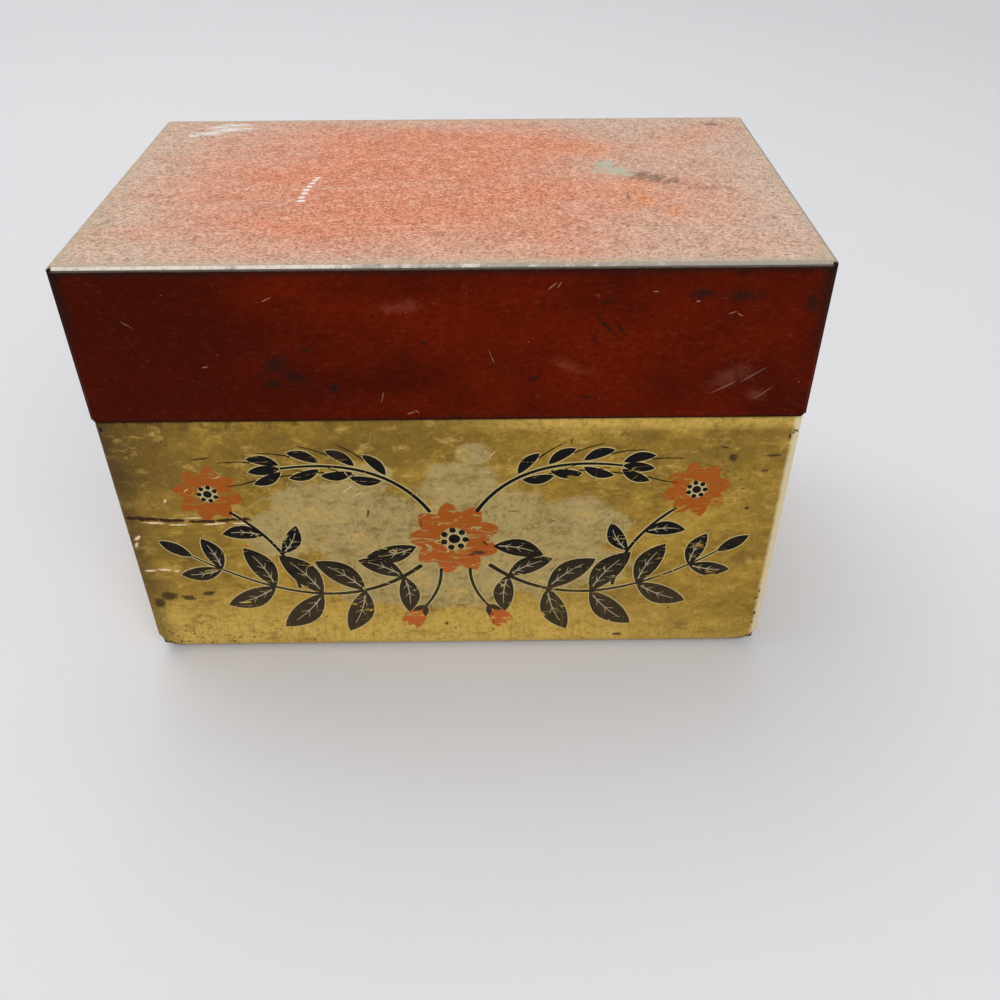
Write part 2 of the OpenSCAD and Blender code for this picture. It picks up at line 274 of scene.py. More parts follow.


# Sets of marks laid out one by one, in millimetres. Each set has its face, and its marks there as
# (across, up, half length, half width, turn in degrees), where across and up are x and y on the
# top of the lid, and x and z on the fronts of the lid and the body.
MARKS = {
    "lid white scuff": ("top", [
        (-54.6, 30.8, 5, 2, 10), (-50.6, 33.2, 5, 2.2, 8), (-57.8, 29, 2, 1.1, 0),
        (-49.6, 36.6, 5, 1.4, 0), (-53.2, 35, 4, 1.5, 6), (-47, 34, 2.4, 1, 0),
    ]),
    "lid white dashes": ("top", [
        (-28, -10.8, 0.95, 0.6, 12), (-28.1, -9, 0.8, 0.55, 10), (-27.9, -6.8, 0.8, 0.55, 12),
        (-27.8, -5, 0.85, 0.6, 14), (-27.5, -3.1, 0.8, 0.55, 18), (-27.2, -1.3, 0.75, 0.5, 24),
        (-26.8, 0.3, 0.75, 0.5, 34), (-26.4, 1.7, 0.8, 0.4, 45),
    ]),
    "lid light scratches": ("top", [
        (-59, -20, 2.6, 0.12, 62), (-58.4, -15.2, 3, 0.12, 82), (-57.6, -10.8, 2, 0.12, 66),
        (20.7, 10.8, 3, 0.16, -72), (20.9, 6, 1.8, 0.14, -60), (-19.5, -4.2, 10, 0.12, 0),
        (-8, -23.5, 17, 0.12, 0), (-44, -14, 1.6, 0.12, 20), (-38, -31, 2, 0.12, 50), (2, 1, 9, 0.1, 1),
        (8, 21, 12, 0.1, -1), (46, -22, 2.4, 0.14, 55), (51, -25, 2.2, 0.14, 120), (33, -25, 8, 0.1, 2),
    ]),
    "lid mint patch": ("top", [
        (31.8, 8.2, 2.6, 3.4, -25), (33.6, 4.8, 2.6, 3.4, -20), (29.8, 4.6, 2, 1.2, 0),
        (35.4, 3, 2.2, 2, -20),
    ]),
    "lid dark smear": ("top", [
        (38, 2, 3.6, 3.6, -14), (41, 0.4, 3.6, 3.6, -10), (44, -1.4, 3, 2.4, 0), (34.4, -9.6, 0.5, 2.8, 0),
        (58.5, 35, 4, 1.6, 0),
    ]),
    "lid halo": ("top", [
        (28.6, 18.5, 8, 7, -25), (35.6, -4.5, 7, 8, 0), (37.6, -11, 7, 7, 0), (42, -17, 5, 5, -40),
    ]),
    "lid pink": ("top", [(50, -5, 8, 3, -5)]),
    "lid haze": ("top", [(-63, -20, 5, 13, 8), (-58, -31, 6, 5, 0)]),
    "lid blotches": ("lid front", [
        (-30.5, 73, 3.2, 2.2, 40), (-27.5, 70.5, 3.4, 1.7, -30), (-31.5, 69, 2.4, 1.4, 10),
        (-20.6, 68, 1.3, 1.4, 0), (-25, 76, 1.2, 0.8, 0), (1.8, 61.6, 2.6, 0.8, 5),
        (15.2, 69.6, 1.6, 0.6, 20), (27.8, 84.6, 1.3, 0.5, 15), (25.4, 65.6, 2.4, 0.5, -4),
        (28, 80, 4.4, 0.6, -48), (30.5, 79.4, 3.2, 0.4, -52), (26, 77.5, 2.4, 0.35, -60),
        (-4, 77, 1.4, 0.5, 0), (44, 86, 3, 1.2, 0), (51, 85.6, 4, 1.4, 0), (63, 84, 1.8, 3.4, 0),
    ]),
    "lid chips": ("lid front", [
        (-7, 62.6, 0.9, 0.18, 20), (-5.9, 62.9, 0.7, 0.15, -40), (18.3, 87.6, 1.2, 0.14, 42),
        (19.6, 87.9, 0.7, 0.12, 60), (49.6, 82.4, 1, 0.13, 20), (51, 82, 0.8, 0.13, -30),
        (-30.5, 85.5, 1.2, 0.12, 25), (-43, 72.6, 0.9, 0.13, 10), (36, 86.5, 0.5, 0.16, 0),
        (43.4, 84.6, 0.45, 0.2, 0), (-12, 66, 1.4, 0.08, 75), (8, 74, 2, 0.07, -70),
        (55, 70, 3.4, 0.1, 35), (50, 67.5, 3, 0.1, 30), (57.4, 66.2, 2.4, 0.1, 40), (-55, 81, 1.4, 0.08, -35),
    ]),
    "lid scuffs": ("lid front", [
        (51, 70, 6.5, 3, 30), (56, 66, 4, 2, 20), (22, 72, 6, 1.6, -20), (-8, 84, 7, 1.6, 4),
    ]),
    "body khaki patch": ("body front", [
        (-26, 41, 12.5, 6.6, 0), (-34, 34, 10, 7.5, 0), (-12, 32, 19, 13, 0), (6, 38, 14, 10, 0),
        (-6, 21, 22, 9.5, 0), (15, 27, 15, 13, 0), (25, 35.5, 11, 8, 0), (-17, 47.5, 7, 4, 0),
        (30, 24, 8, 5.5, 0), (1, 46, 8, 6, 0), (4, 53, 4, 3, 0),
    ]),
    "body stains": ("body front", [
        (-61, 17, 2.4, 1.5, 0), (-57, 16.4, 2, 1, -8), (-52.6, 17.6, 1.6, 0.7, 8),
        (-63.4, 15, 1.4, 1.8, 0), (5, 28.3, 1.9, 0.7, -4), (6.2, 30.8, 1, 0.35, -50),
        (3.6, 27.8, 1.1, 0.4, 10), (54.1, 51.6, 1.2, 1.1, 0), (52.3, 54, 0.9, 0.35, -8),
        (61.7, 52, 1.9, 0.42, 0), (60.6, 48.4, 1.1, 0.3, 6), (64.2, 56.4, 0.3, 0.9, 0),
        (65.3, 57.6, 1, 0.3, -20), (58.6, 39.2, 0.6, 0.5, 0), (55.4, 28.4, 0.9, 0.5, 25),
        (12, 39, 1.2, 0.14, 0), (-15.5, 29, 0.8, 0.16, 60), (-6.6, 36, 0.18, 1.2, -8),
        (-17, 38.8, 0.3, 1.4, -8), (23, 56, 0.2, 1, -12),
    ]),
    "body smudges": ("body front", [
        (-24, 21.5, 3, 2.4, 0), (-6, 12.4, 3, 2, 0), (60, 26, 3.4, 3, 0), (-20, 54, 9, 3.4, 0),
        (-62, 46, 3.6, 9, 0),
    ]),
    "body dots": ("body front", [
        (7.7, 15.4, 0.16, 0.5, 0), (7.8, 13, 0.14, 0.9, 0), (7.7, 10.6, 0.16, 0.5, 0),
        (7.8, 8.4, 0.14, 0.8, 0), (7.7, 6, 0.16, 0.5, 0), (-21, 24.4, 0.25, 0.25, 0),
        (-35, 9.6, 0.3, 0.25, 0), (-28.4, 10.4, 0.25, 0.25, 0), (-2.4, 8, 0.4, 0.5, 0),
        (-0.6, 6.6, 0.5, 0.2, 0), (35, 4.2, 1.2, 0.5, 0), (45.6, 12, 0.3, 0.3, 0),
        (64.6, 16.6, 0.25, 0.5, 0), (64.2, 14.6, 0.5, 0.3, 30), (64.6, 10.2, 0.3, 0.6, 0),
        (64.4, 7.4, 0.4, 0.3, 0), (57, 44, 0.25, 0.25, 0), (56.4, 46.3, 0.2, 0.3, 0),
        (20, 36.4, 0.7, 0.14, 0), (-48, 52.4, 2.4, 0.3, 8),
    ]),
    "body flakes": ("body front", [
        (-64.2, 33, 1, 0.5, 40), (-64.8, 31.2, 0.8, 0.35, 60), (-63.4, 24.2, 1.4, 0.35, 0),
        (-60.4, 24.4, 1.6, 0.4, -6), (-58, 24, 0.8, 0.25, 0), (-52, 45, 0.8, 0.12, 40),
        (-56.6, 42.4, 0.6, 0.3, 60), (-45.6, 48, 0.9, 0.1, 20), (8, 53, 1.4, 0.1, 50),
        (-20.4, 45, 1.6, 0.1, 40), (-18.6, 43.6, 1.4, 0.1, 35), (-20.4, 48.6, 0.9, 0.09, 120),
    ]),
    "body long scratch": ("body front", [
        (-61.5, 38, 4.2, 0.6, -4), (-56, 37.5, 3.8, 0.5, -2), (-50.5, 37.2, 3.8, 0.46, 0),
        (-45.6, 37.5, 3, 0.54, 5), (-41.8, 37.6, 1.5, 0.62, 0),
    ]),
    "body scratch lip": ("body front", [
        (-60, 36.9, 2.6, 0.3, -4), (-55, 36.4, 2.6, 0.26, 0), (-48, 36.5, 2.8, 0.28, 4),
        (-43, 36.6, 1.8, 0.24, 0), (-52, 38.1, 2, 0.2, 0),
    ]),
}
# A mark reaches this deep into its face, and fades out at this many times its half length and half width
MARK_DEPTH = 0.3
MARK_REACH = 1.6
# Size of the notches in the ragged edge of a mark
MARK_GRAIN = 0.9


def mark_centre(face, across, up):
    """Place of a mark on its face"""
    if face == "top":
        return (across, up, LID_HIGH.z)
    if face == "lid front":
        return (across, LID_LOW.y, up)
    return (across, WALL_LOW.y, up)


def mark_group(name):
    """Shared node group of one set of marks: 1 in the middle of each mark and 0 away from it"""
    group = bpy.data.node_groups.get(name)
    if group is not None:
        return group
    group = bpy.data.node_groups.new(name, "ShaderNodeTree")
    group.interface.new_socket("Nearness", in_out="OUTPUT", socket_type="NodeSocketFloat")
    place = group.nodes.new("ShaderNodeTexCoord").outputs["Object"]
    face, places = MARKS[name]
    closest = None
    for across, up, half_length, half_width, turn in places:
        angle = math.radians(turn)
        flat = face == "top"
        halves = (half_length, half_width, MARK_DEPTH) if flat else (half_length, MARK_DEPTH, half_width)
        node = group.nodes.new("ShaderNodeMapping")
        node.vector_type = "TEXTURE"
        node.inputs["Location"].default_value = [part * MM for part in mark_centre(face, across, up)]
        node.inputs["Rotation"].default_value = (0, 0, angle) if flat else (0, -angle, 0)
        node.inputs["Scale"].default_value = [part * MM * MARK_REACH for part in halves]
        group.links.new(place, node.inputs["Vector"])
        ball = group.nodes.new("ShaderNodeTexGradient")
        ball.gradient_type = "SPHERICAL"
        group.links.new(node.outputs["Vector"], ball.inputs["Vector"])
        nearness = Field(group, ball.outputs["Fac"])
        closest = nearness if closest is None else closest.most(nearness)
    feed(group, group.nodes.new("NodeGroupOutput").inputs[0], closest)
    return group


# What each stage of a finish takes in and hands on
LAYERS = {
    "Colour": "NodeSocketColor",
    "Rough": "NodeSocketFloat",
    "Metal": "NodeSocketFloat",
    "Relief": "NodeSocketFloat",
}
# Each noise of a stage is shifted by this much more than the one before. How far the first one is
# shifted follows from the name of the stage, and is fewer than this many such shifts.
NOISE_SHIFT = (17.3, 9.1, 5.7)
FIRST_SHIFTS = 89


def stage_group(name, build):
    """Node group that lays one stage of a finish over what goes in. It is made once and then shared."""
    group = bpy.data.node_groups.get(name)
    if group is not None:
        return group
    group = bpy.data.node_groups.new(name, "ShaderNodeTree")
    for label, kind in LAYERS.items():
        group.interface.new_socket(label, in_out="INPUT", socket_type=kind)
        group.interface.new_socket(label, in_out="OUTPUT", socket_type=kind)
    start = group.nodes.new("NodeGroupInput").outputs
    rough, metal, relief = (Field(group, start[label]) for label in ("Rough", "Metal", "Relief"))
    surface = Surface(group, name, start["Colour"], rough, metal, relief)
    build(surface)
    end = group.nodes.new("NodeGroupOutput").inputs
    for label, value in zip(LAYERS, surface.layers()):
        feed(group, end[label], value)
    return group


class Surface:
    """Finish under construction. Layers are laid over each other from the metal up.

    x, y and z are in millimetres. A layer changes colour, roughness and metal, and relief adds up.
    """

    def __init__(self, tree, name, colour, rough, metal=0.0, relief=0.0):
        self.tree = tree
        self.colour = colour
        self.rough = rough
        self.metal = metal
        self.relief = relief
        self.shift = sum(ord(letter) for letter in name) % FIRST_SHIFTS
        self.place = tree.nodes.new("ShaderNodeTexCoord").outputs["Object"]
        parts = tree.nodes.new("ShaderNodeSeparateXYZ")
        tree.links.new(self.place, parts.inputs[0])
        self.x, self.y, self.z = (Field(tree, parts.outputs[axis]) * (1 / MM) for axis in "XYZ")

    def layers(self):
        return self.colour, self.rough, self.metal, self.relief

    def add_stage(self, name, build):
        """Lays a shared stage over what is there"""
        node = self.tree.nodes.new("ShaderNodeGroup")
        node.node_tree = stage_group(name, build)
        for label, value in zip(LAYERS, self.layers()):
            feed(self.tree, node.inputs[label], value)
        self.colour = node.outputs["Colour"]
        self.rough, self.metal, self.relief = (
            Field(self.tree, node.outputs[label]) for label in ("Rough", "Metal", "Relief")
        )

    def stretched(self, size, stretch):
        """Places divided by a size, longer along each axis by its stretch, and shifted"""
        self.shift += 1
        node = self.tree.nodes.new("ShaderNodeMapping")
        self.tree.links.new(self.place, node.inputs["Vector"])
        node.inputs["Scale"].default_value = [1 / (size * s * MM) for s in stretch]
        node.inputs["Location"].default_value = [part * self.shift for part in NOISE_SHIFT]
        return node.outputs["Vector"]

    def grain(self, size, stretch=(1, 1, 1), detail=3.0, harsh=0.55, swirl=0.0):
        """Cloudy noise from 0 to 1 with spots of about this size"""
        node = self.tree.nodes.new("ShaderNodeTexNoise")
        self.tree.links.new(self.stretched(size, stretch), node.inputs["Vector"])
        node.inputs["Scale"].default_value = 1.0
        node.inputs["Detail"].default_value = detail
        node.inputs["Roughness"].default_value = harsh
        node.inputs["Distortion"].default_value = swirl
        return Field(self.tree, node.outputs["Fac"])

    def swing(self, reach, size, **settings):
        """Noise that swings about this far either way of zero"""
        noise = self.grain(size, **settings)
        return noise.math("MULTIPLY_ADD", noise, 2 * reach, -reach)

    def specks(self, spacing, radius, share, stretch=(1, 1, 1)):
        """Ragged dots: one in each cell of the spacing, in this share of the cells"""
        node = self.tree.nodes.new("ShaderNodeTexVoronoi")
        self.tree.links.new(self.stretched(spacing, stretch), node.inputs["Vector"])
        node.inputs["Scale"].default_value = 1.0
        colour = self.tree.nodes.new("ShaderNodeSeparateColor")
        self.tree.links.new(node.outputs["Color"], colour.inputs[0])
        chosen = Field(self.tree, colour.outputs[0]).ramp(share, share - 0.02)
        reach = radius / spacing
        distance = Field(self.tree, node.outputs["Distance"]) + self.swing(0.5 * reach, radius, detail=2.0)
        return distance.ramp(reach, reach * 0.6) * chosen

    def hairs(self, size, width, stretch=(1, 1, 1)):
        """Thin curling lines"""
        return abs(self.grain(size, stretch, detail=2.0, swirl=0.6) - 0.5).ramp(width, 0.0)

    def marks(self, name, ragged, soft=0.35, size=MARK_GRAIN):
        """One set of the marks laid out by hand, with ragged edges"""
        node = self.tree.nodes.new("ShaderNodeGroup")
        node.node_tree = mark_group(name)
        wobble = self.swing(ragged / MARK_REACH, size, detail=5.0, harsh=0.7)
        edge = 1 - 1 / MARK_REACH
        return (Field(self.tree, node.outputs[0]) + wobble).ramp(edge, edge + soft / MARK_REACH)

    def from_sides(self, half_x, half_y):
        """Distance from the nearest side, and the sum of the distances from the two nearest sides"""
        from_x = half_x - abs(self.x)
        from_y = half_y - abs(self.y)
        return from_x.least(from_y), from_x + from_y

    def depth(self, half_x, half_y, bend, top=None):
        """Depth below the outside of a box whose bends have this radius, up to that radius"""
        gaps = [half_x - abs(self.x), half_y - abs(self.y)]
        if top is not None:
            gaps.append(top - self.z)
        squares = 0.0
        for gap in gaps:
            short = (bend - gap).most(0.0)
            squares = short * short + squares
        return bend - squares.root()

    def tint(self, amount, below, above):
        """Colour between two colours"""
        node = self.tree.nodes.new("ShaderNodeMix")
        node.data_type = "RGBA"
        # The colour sockets of a Mix node come after those for numbers and vectors
        feed(self.tree, node.inputs[0], amount)
        feed(self.tree, node.inputs[6], below)
        feed(self.tree, node.inputs[7], above)
        return node.outputs[2]

    def blend(self, amount, below, above):
        """Number between two numbers"""
        node = self.tree.nodes.new("ShaderNodeMix")
        node.data_type = "FLOAT"
        feed(self.tree, node.inputs[0], amount)
        feed(self.tree, node.inputs[2], below)
        feed(self.tree, node.inputs[3], above)
        return Field(self.tree, node.outputs[0])

    def lay(self, amount, colour=None, rough=None, metal=None, lift=None):
        """Lays a layer over what is there, where amount is 1. lift is in millimetres."""
        if colour is not None:
            self.colour = self.tint(amount, self.colour, colour)
        if rough is not None:
            self.rough = self.blend(amount, self.rough, rough)
        if metal is not None:
            self.metal = self.blend(amount, self.metal, metal)
        if lift is not None:
            self.raise_by(amount * lift)

    def raise_by(self, height):
        """Adds to the relief, in millimetres"""
        self.relief = height + self.relief

    def join_shader(self, gloss):
        """Joins everything to the shader"""
        shader = self.tree.nodes.new("ShaderNodeBsdfPrincipled")
        shader.inputs["Specular IOR Level"].default_value = gloss
        feed(self.tree, shader.inputs["Base Color"], self.colour)
        feed(self.tree, shader.inputs["Roughness"], self.rough)
        feed(self.tree, shader.inputs["Metallic"], self.metal)
        bump = self.tree.nodes.new("ShaderNodeBump")
        bump.inputs["Strength"].default_value = 1.0
        bump.inputs["Distance"].default_value = MM
        feed(self.tree, bump.inputs["Height"], self.relief)
        self.tree.links.new(bump.outputs[0], shader.inputs["Normal"])
        output = self.tree.nodes.new("ShaderNodeOutputMaterial")
        self.tree.links.new(shader.outputs[0], output.inputs["Surface"])


def finish(name, first, stages, gloss):
    """Material made of stages over its first colour, roughness and metal"""
    material = bpy.data.materials.new(name)
    material.use_nodes = True
    material.node_tree.nodes.clear()
    surface = Surface(material.node_tree, name, *first)
    for stage_name, build in stages.items():
        surface.add_stage(stage_name, build)
    surface.join_shader(gloss)
    return material


def bare_tin(s, amount, worn=0.5):
    """Plain tinplate, gone dull in clouds, with fine scratches and a few rust freckles"""
    metals = metal_paint()
    dull = s.grain(9, detail=5.0, harsh=0.65).ramp(0.35, 0.7)
    colour = s.tint(dull, metals.tin, metals.dull_tin)
    s.lay(amount, colour=colour, rough=s.blend(dull, 0.34, 0.5), metal=0.85)
    freckles = s.specks(5, 0.5, worn * 0.5).most(s.specks(2.2, 0.2, worn * 0.4))
    s.lay(amount * freckles, colour=metals.rust, rough=0.85, metal=0.0)
    bloom = s.grain(18, detail=6.0, harsh=0.7).ramp(0.6, 0.72)
    s.lay(amount * bloom * 0.6, colour=metals.rust, rough=0.8, metal=0.2)
    scratches = s.hairs(12, 0.006, stretch=(1, 1, 0.35))
    s.lay(amount * scratches * 0.5, colour=metals.tin, rough=0.3)


def lid_skirts(s):
    """Deep red enamel of the skirts, dirty and chipped"""
    colours = lid_paint()
    metals = metal_paint()
    cloud = s.grain(24, stretch=(1.6, 1.6, 1), detail=6.0, harsh=0.6)
    s.lay(cloud.ramp(0.35, 0.65) * 0.75 + 0.15, colour=colours.brown_red)
    s.lay((s.x + cloud * 12).ramp(-14, -56) * 0.75, colour=colours.brown_red)
    dirt = s.grain(0.7, stretch=(2, 2, 1), detail=5.0, harsh=0.8)
    s.lay(dirt.ramp(0.5, 0.68) * 0.5, colour=colours.soot)
    s.lay(dirt.ramp(0.46, 0.3) * 0.05, colour=colours.coral_and_sheen)
    s.lay(s.grain(5, detail=6.0, harsh=0.7).ramp(0.56, 0.72) * 0.5, colour=colours.soot, rough=0.5)
    s.lay(s.specks(2.6, 0.16, 0.2) * 0.3, colour=colours.coral_and_sheen)
    s.raise_by(dirt * 0.006)
    s.raise_by(s.grain(30, detail=2.0) * 0.25)
    s.lay(s.marks("lid scuffs", ragged=1.5, soft=1.3, size=3) * 0.09, colour=colours.coral_and_sheen, rough=0.55)
    s.lay(s.marks("lid blotches", ragged=1.4, soft=0.9, size=0.8) * 0.8, colour=metals.grime, rough=0.6)
    s.lay(s.marks("lid chips", ragged=0.8) * 0.24, colour=colours.tan)
    s.lay(s.hairs(14, 0.003) * s.grain(5).ramp(0.58, 0.7) * 0.14, colour=colours.coral_and_sheen)


def on_lid_top(s):
    """1 on the top of the lid and 0 on its skirts"""
    return (LID_HIGH.z - s.z).ramp(0.5, 0.1)


def lid_top(s):
    """Bleached and dusty enamel of the top, painted lighter than the same enamel on the skirts as a painted
    sheen, with its lint, scratches and stains
    """
    colours = lid_paint()
    metals = metal_paint()
    on_top = on_lid_top(s)
    from_side, _ = s.from_sides(LID_HIGH.x, LID_HIGH.y)
    border = from_side.ramp(20, 1) * 0.55
    right = (s.x + s.swing(15, 24, detail=6.0, harsh=0.6)).ramp(14, 44) * 0.6
    left = (s.x + s.swing(12, 22, detail=6.0, harsh=0.6)).ramp(-20, -60) * 0.4
    patches = s.swing(0.8, 16, stretch=(2.2, 1, 1), detail=6.0, harsh=0.6)
    # The coral and tan ground is partly painted sheen and partly bleached and dusty enamel
    ground = s.tint((border + right + left + patches).kept(), colours.coral_and_sheen, colours.tan)
    ground = s.tint(s.marks("lid haze", ragged=1.4, soft=1.0, size=3) * 0.6, ground, colours.haze)
    ground = s.tint(s.marks("lid halo", ragged=1.1, soft=1.2, size=2.4) * 0.85, ground, colours.halo)
    ground = s.tint(s.marks("lid pink", ragged=0.9, soft=0.9, size=3) * 0.3, ground, colours.deep_red)
    s.lay(on_top, colour=ground, rough=0.6)
    # Felted dust: dark and light grains, and short fibres that curl
    fine = s.grain(0.5, stretch=(1.3, 1, 1), detail=4.0, harsh=0.85)
    s.lay(on_top * fine.ramp(0.5, 0.36) * 0.75, colour=metals.rust)
    s.lay(on_top * fine.ramp(0.52, 0.64) * 0.75, colour=colours.lint)
    s.raise_by(on_top * fine * 0.03)
    s.lay(on_top * s.grain(1.5, detail=5.0, harsh=0.8).ramp(0.47, 0.34) * 0.4, colour=metals.rust)
    shade = s.hairs(1.7, 0.05) * s.grain(4).ramp(0.42, 0.6)
    s.lay(on_top * shade * 0.4, colour=metals.rust)
    lint = s.hairs(1.5, 0.05) * s.grain(2.4).ramp(0.46, 0.6)
    s.lay(on_top * lint * 0.55, colour=colours.lint)
    rubbed = s.grain(1.1, stretch=(30, 0.35, 1), detail=2.0).ramp(0.6, 0.72) * s.grain(20).ramp(0.42, 0.6)
    s.lay(on_top * rubbed * 0.4, colour=colours.coral_and_sheen)


def lid_top_marks(s):
    """Scratches, scuffs and bare patches of the top"""
    colours = lid_paint()
    s.lay(s.marks("lid light scratches", ragged=0.5) * 0.75, colour=colours.lint)
    s.lay(s.marks("lid dark smear", ragged=1.7, soft=0.9, size=1.0) * 0.7, colour=colours.smear, rough=0.5)
    s.lay(s.marks("lid mint patch", ragged=1.6, soft=0.7, size=0.9) * 0.9, colour=colours.mint, rough=0.45)
    s.lay(s.marks("lid white scuff", ragged=1.3, soft=0.9, size=0.5) * 0.85, colour=colours.scuff, rough=0.5)
    s.lay(s.marks("lid white dashes", ragged=0.5), colour=colours.dashes, rough=0.4)


def lid_edges(s):
    """Worn rim with its white line, and dirt along the edges of the skirts"""
    colours = lid_paint()
    metals = metal_paint()
    on_top = on_lid_top(s)
    on_skirt = 1 - on_top
    from_side, upright = s.from_sides(LID_HIGH.x, LID_HIGH.y)
    down = LID_HIGH.z - s.z
    up = s.z - LID_LOW.z
    rim = from_side + down
    ragged = s.swing(0.5, 1.6, detail=4.0, harsh=0.7)
    s.lay((down + ragged).ramp(2.4, 0.7) * on_skirt * 0.8, colour=metals.grime, rough=0.7)
    corner_dirt = (upright + ragged * 2).ramp(3.2, 0.9) * s.z.ramp(LID_LOW.z + 6, LID_HIGH.z - 4)
    s.lay(corner_dirt * on_skirt * 0.75, colour=metals.grime, rough=0.7)
    s.lay((up + ragged * 0.6).ramp(0.7, 0.1) * 0.8, colour=metals.grime, rough=0.7)
    dusty = s.grain(0.5, stretch=(1.3, 1, 1), detail=4.0, harsh=0.85).ramp(0.36, 0.58)
    at_front = s.y.ramp(-30, -38) * 0.4 + 0.45
    s.lay((rim + ragged * 2.4).ramp(3.8, 0.8) * on_top * dusty * at_front, colour=colours.haze)
    dull = (s.grain(3, detail=5.0, harsh=0.75) + s.x * 0.003).ramp(0.36, 0.6)
    s.lay((rim + ragged * 0.4).ramp(0.95, 0.6) * 0.5, colour=metals.dull_tin, rough=0.5)
    bead_colour = s.tint(dull * 0.7, colours.bead, metals.dull_tin)
    bead = (rim + ragged * 0.45).ramp(0.78, 0.46) * on_top.ramp(0.0, 0.15)
    s.lay(bead * (dusty * 0.4 + 0.6), colour=bead_colour, rough=0.4)


def lid_inside(s):
    """Plain tin inside the lid, but for the hem, which turns the enamel inwards"""
    from_side, upright = s.from_sides(LID_HIGH.x, LID_HIGH.y)
    depth = s.depth(LID_HIGH.x, LID_HIGH.y, LID_BEND, LID_HIGH.z)
    hem = (s.z - LID_LOW.z).ramp(LID_HEM + 0.1, LID_HEM - 0.1) * from_side.ramp(SHEET + 0.05, SHEET + 0.15)
    # The upright bends are set in by a sheet, and are enamelled all the way round
    bend_reach = LID_BEND + SHEET
    within = depth.ramp(SKIN_START, SKIN_END) * upright.ramp(bend_reach, bend_reach + 0.15)
    bare_tin(s, within * (1 - hem))


def lid_finish():
    """Red enamel: bleached, dusty and painted lighter on the top as a painted sheen, deep on the skirts, worn
    pale along the rim
    """
    stages = {
        "lid skirts": lid_skirts, "lid top": lid_top, "lid top marks": lid_top_marks,
        "lid edges": lid_edges, "lid inside": lid_inside,
    }
    return finish("worn_red_enamel", (lid_paint().deep_red, 0.42), stages, gloss=0.03)


def body_ground(s):
    """Yellow enamel before its wear: mustard and olive clouds, painted shade towards the top and the upper
    left, painted light near the foot, a painted highlight under the shoulder, and a bleached patch on the
    front
    """
    colours = body_paint()
    cloud = s.grain(26, stretch=(1.5, 1.5, 1), detail=6.0, harsh=0.6)
    mottle = s.grain(4.5, detail=6.0, harsh=0.75)
    # Painted shade: the olive gathers towards the top and the upper left, as well as in clouds
    dark = cloud + mottle * 0.7 + s.z.ramp(40, 56) * 0.12 + s.x.ramp(-30, -64) * s.z.ramp(30, 54) * 0.15
    s.lay(dark.ramp(0.72, 1.05), colour=colours.olive)
    # Painted shade at the upper left, in the stain colour
    s.lay(s.x.ramp(-46, -64) * s.z.ramp(36, 56) * 0.6, colour=colours.stain)
    s.lay(s.x.ramp(46, 60) * 0.2, colour=colours.olive)
    # Painted light near the foot, mixed with the mottle
    low = s.z.ramp(21, 9) * s.x.ramp(70, 10) * 0.75 + s.z.ramp(12, 4) * 0.3
    s.lay((low + mottle * 0.4 - 0.2).kept(), colour=colours.gold_and_painted_light)
    # Painted highlight along the shoulder, towards the right
    s.lay(s.z.ramp(57.5, 59.5) * s.x.ramp(-10, 20) * 0.8, colour=colours.gold_and_painted_light)
    s.lay(s.marks("body khaki patch", ragged=0.6, soft=0.25, size=4) * 0.9, colour=colours.khaki)
    # Thin and thick places in the enamel, a few millimetres across
    uneven = s.grain(2.6, stretch=(2, 2, 1), detail=7.0, harsh=0.78)
    s.lay(uneven.ramp(0.48, 0.4) * 0.4, colour=colours.olive)
    s.lay(uneven.ramp(0.52, 0.64) * 0.5, colour=colours.gold_and_painted_light)
    s.lay(uneven.ramp(0.62, 0.7) * 0.3, colour=colours.flake)
    s.lay(uneven.ramp(0.41, 0.34) * 0.3, colour=colours.stain)
    # Fine patina that gathers in patches
    patina = s.grain(1.4, detail=5.0, harsh=0.8).ramp(0.5, 0.62) * s.grain(12, detail=3.0).ramp(0.44, 0.6)
    s.lay(patina * 0.4, colour=colours.stain)
    fine = s.grain(0.8, detail=4.0, harsh=0.8)
    s.lay(fine.ramp(0.5, 0.36) * 0.5, colour=colours.olive)
    s.lay(fine.ramp(0.54, 0.72) * 0.3, colour=colours.gold_and_painted_light)
    s.raise_by(fine * 0.004)
    s.raise_by(s.grain(34, detail=2.0) * 0.3)


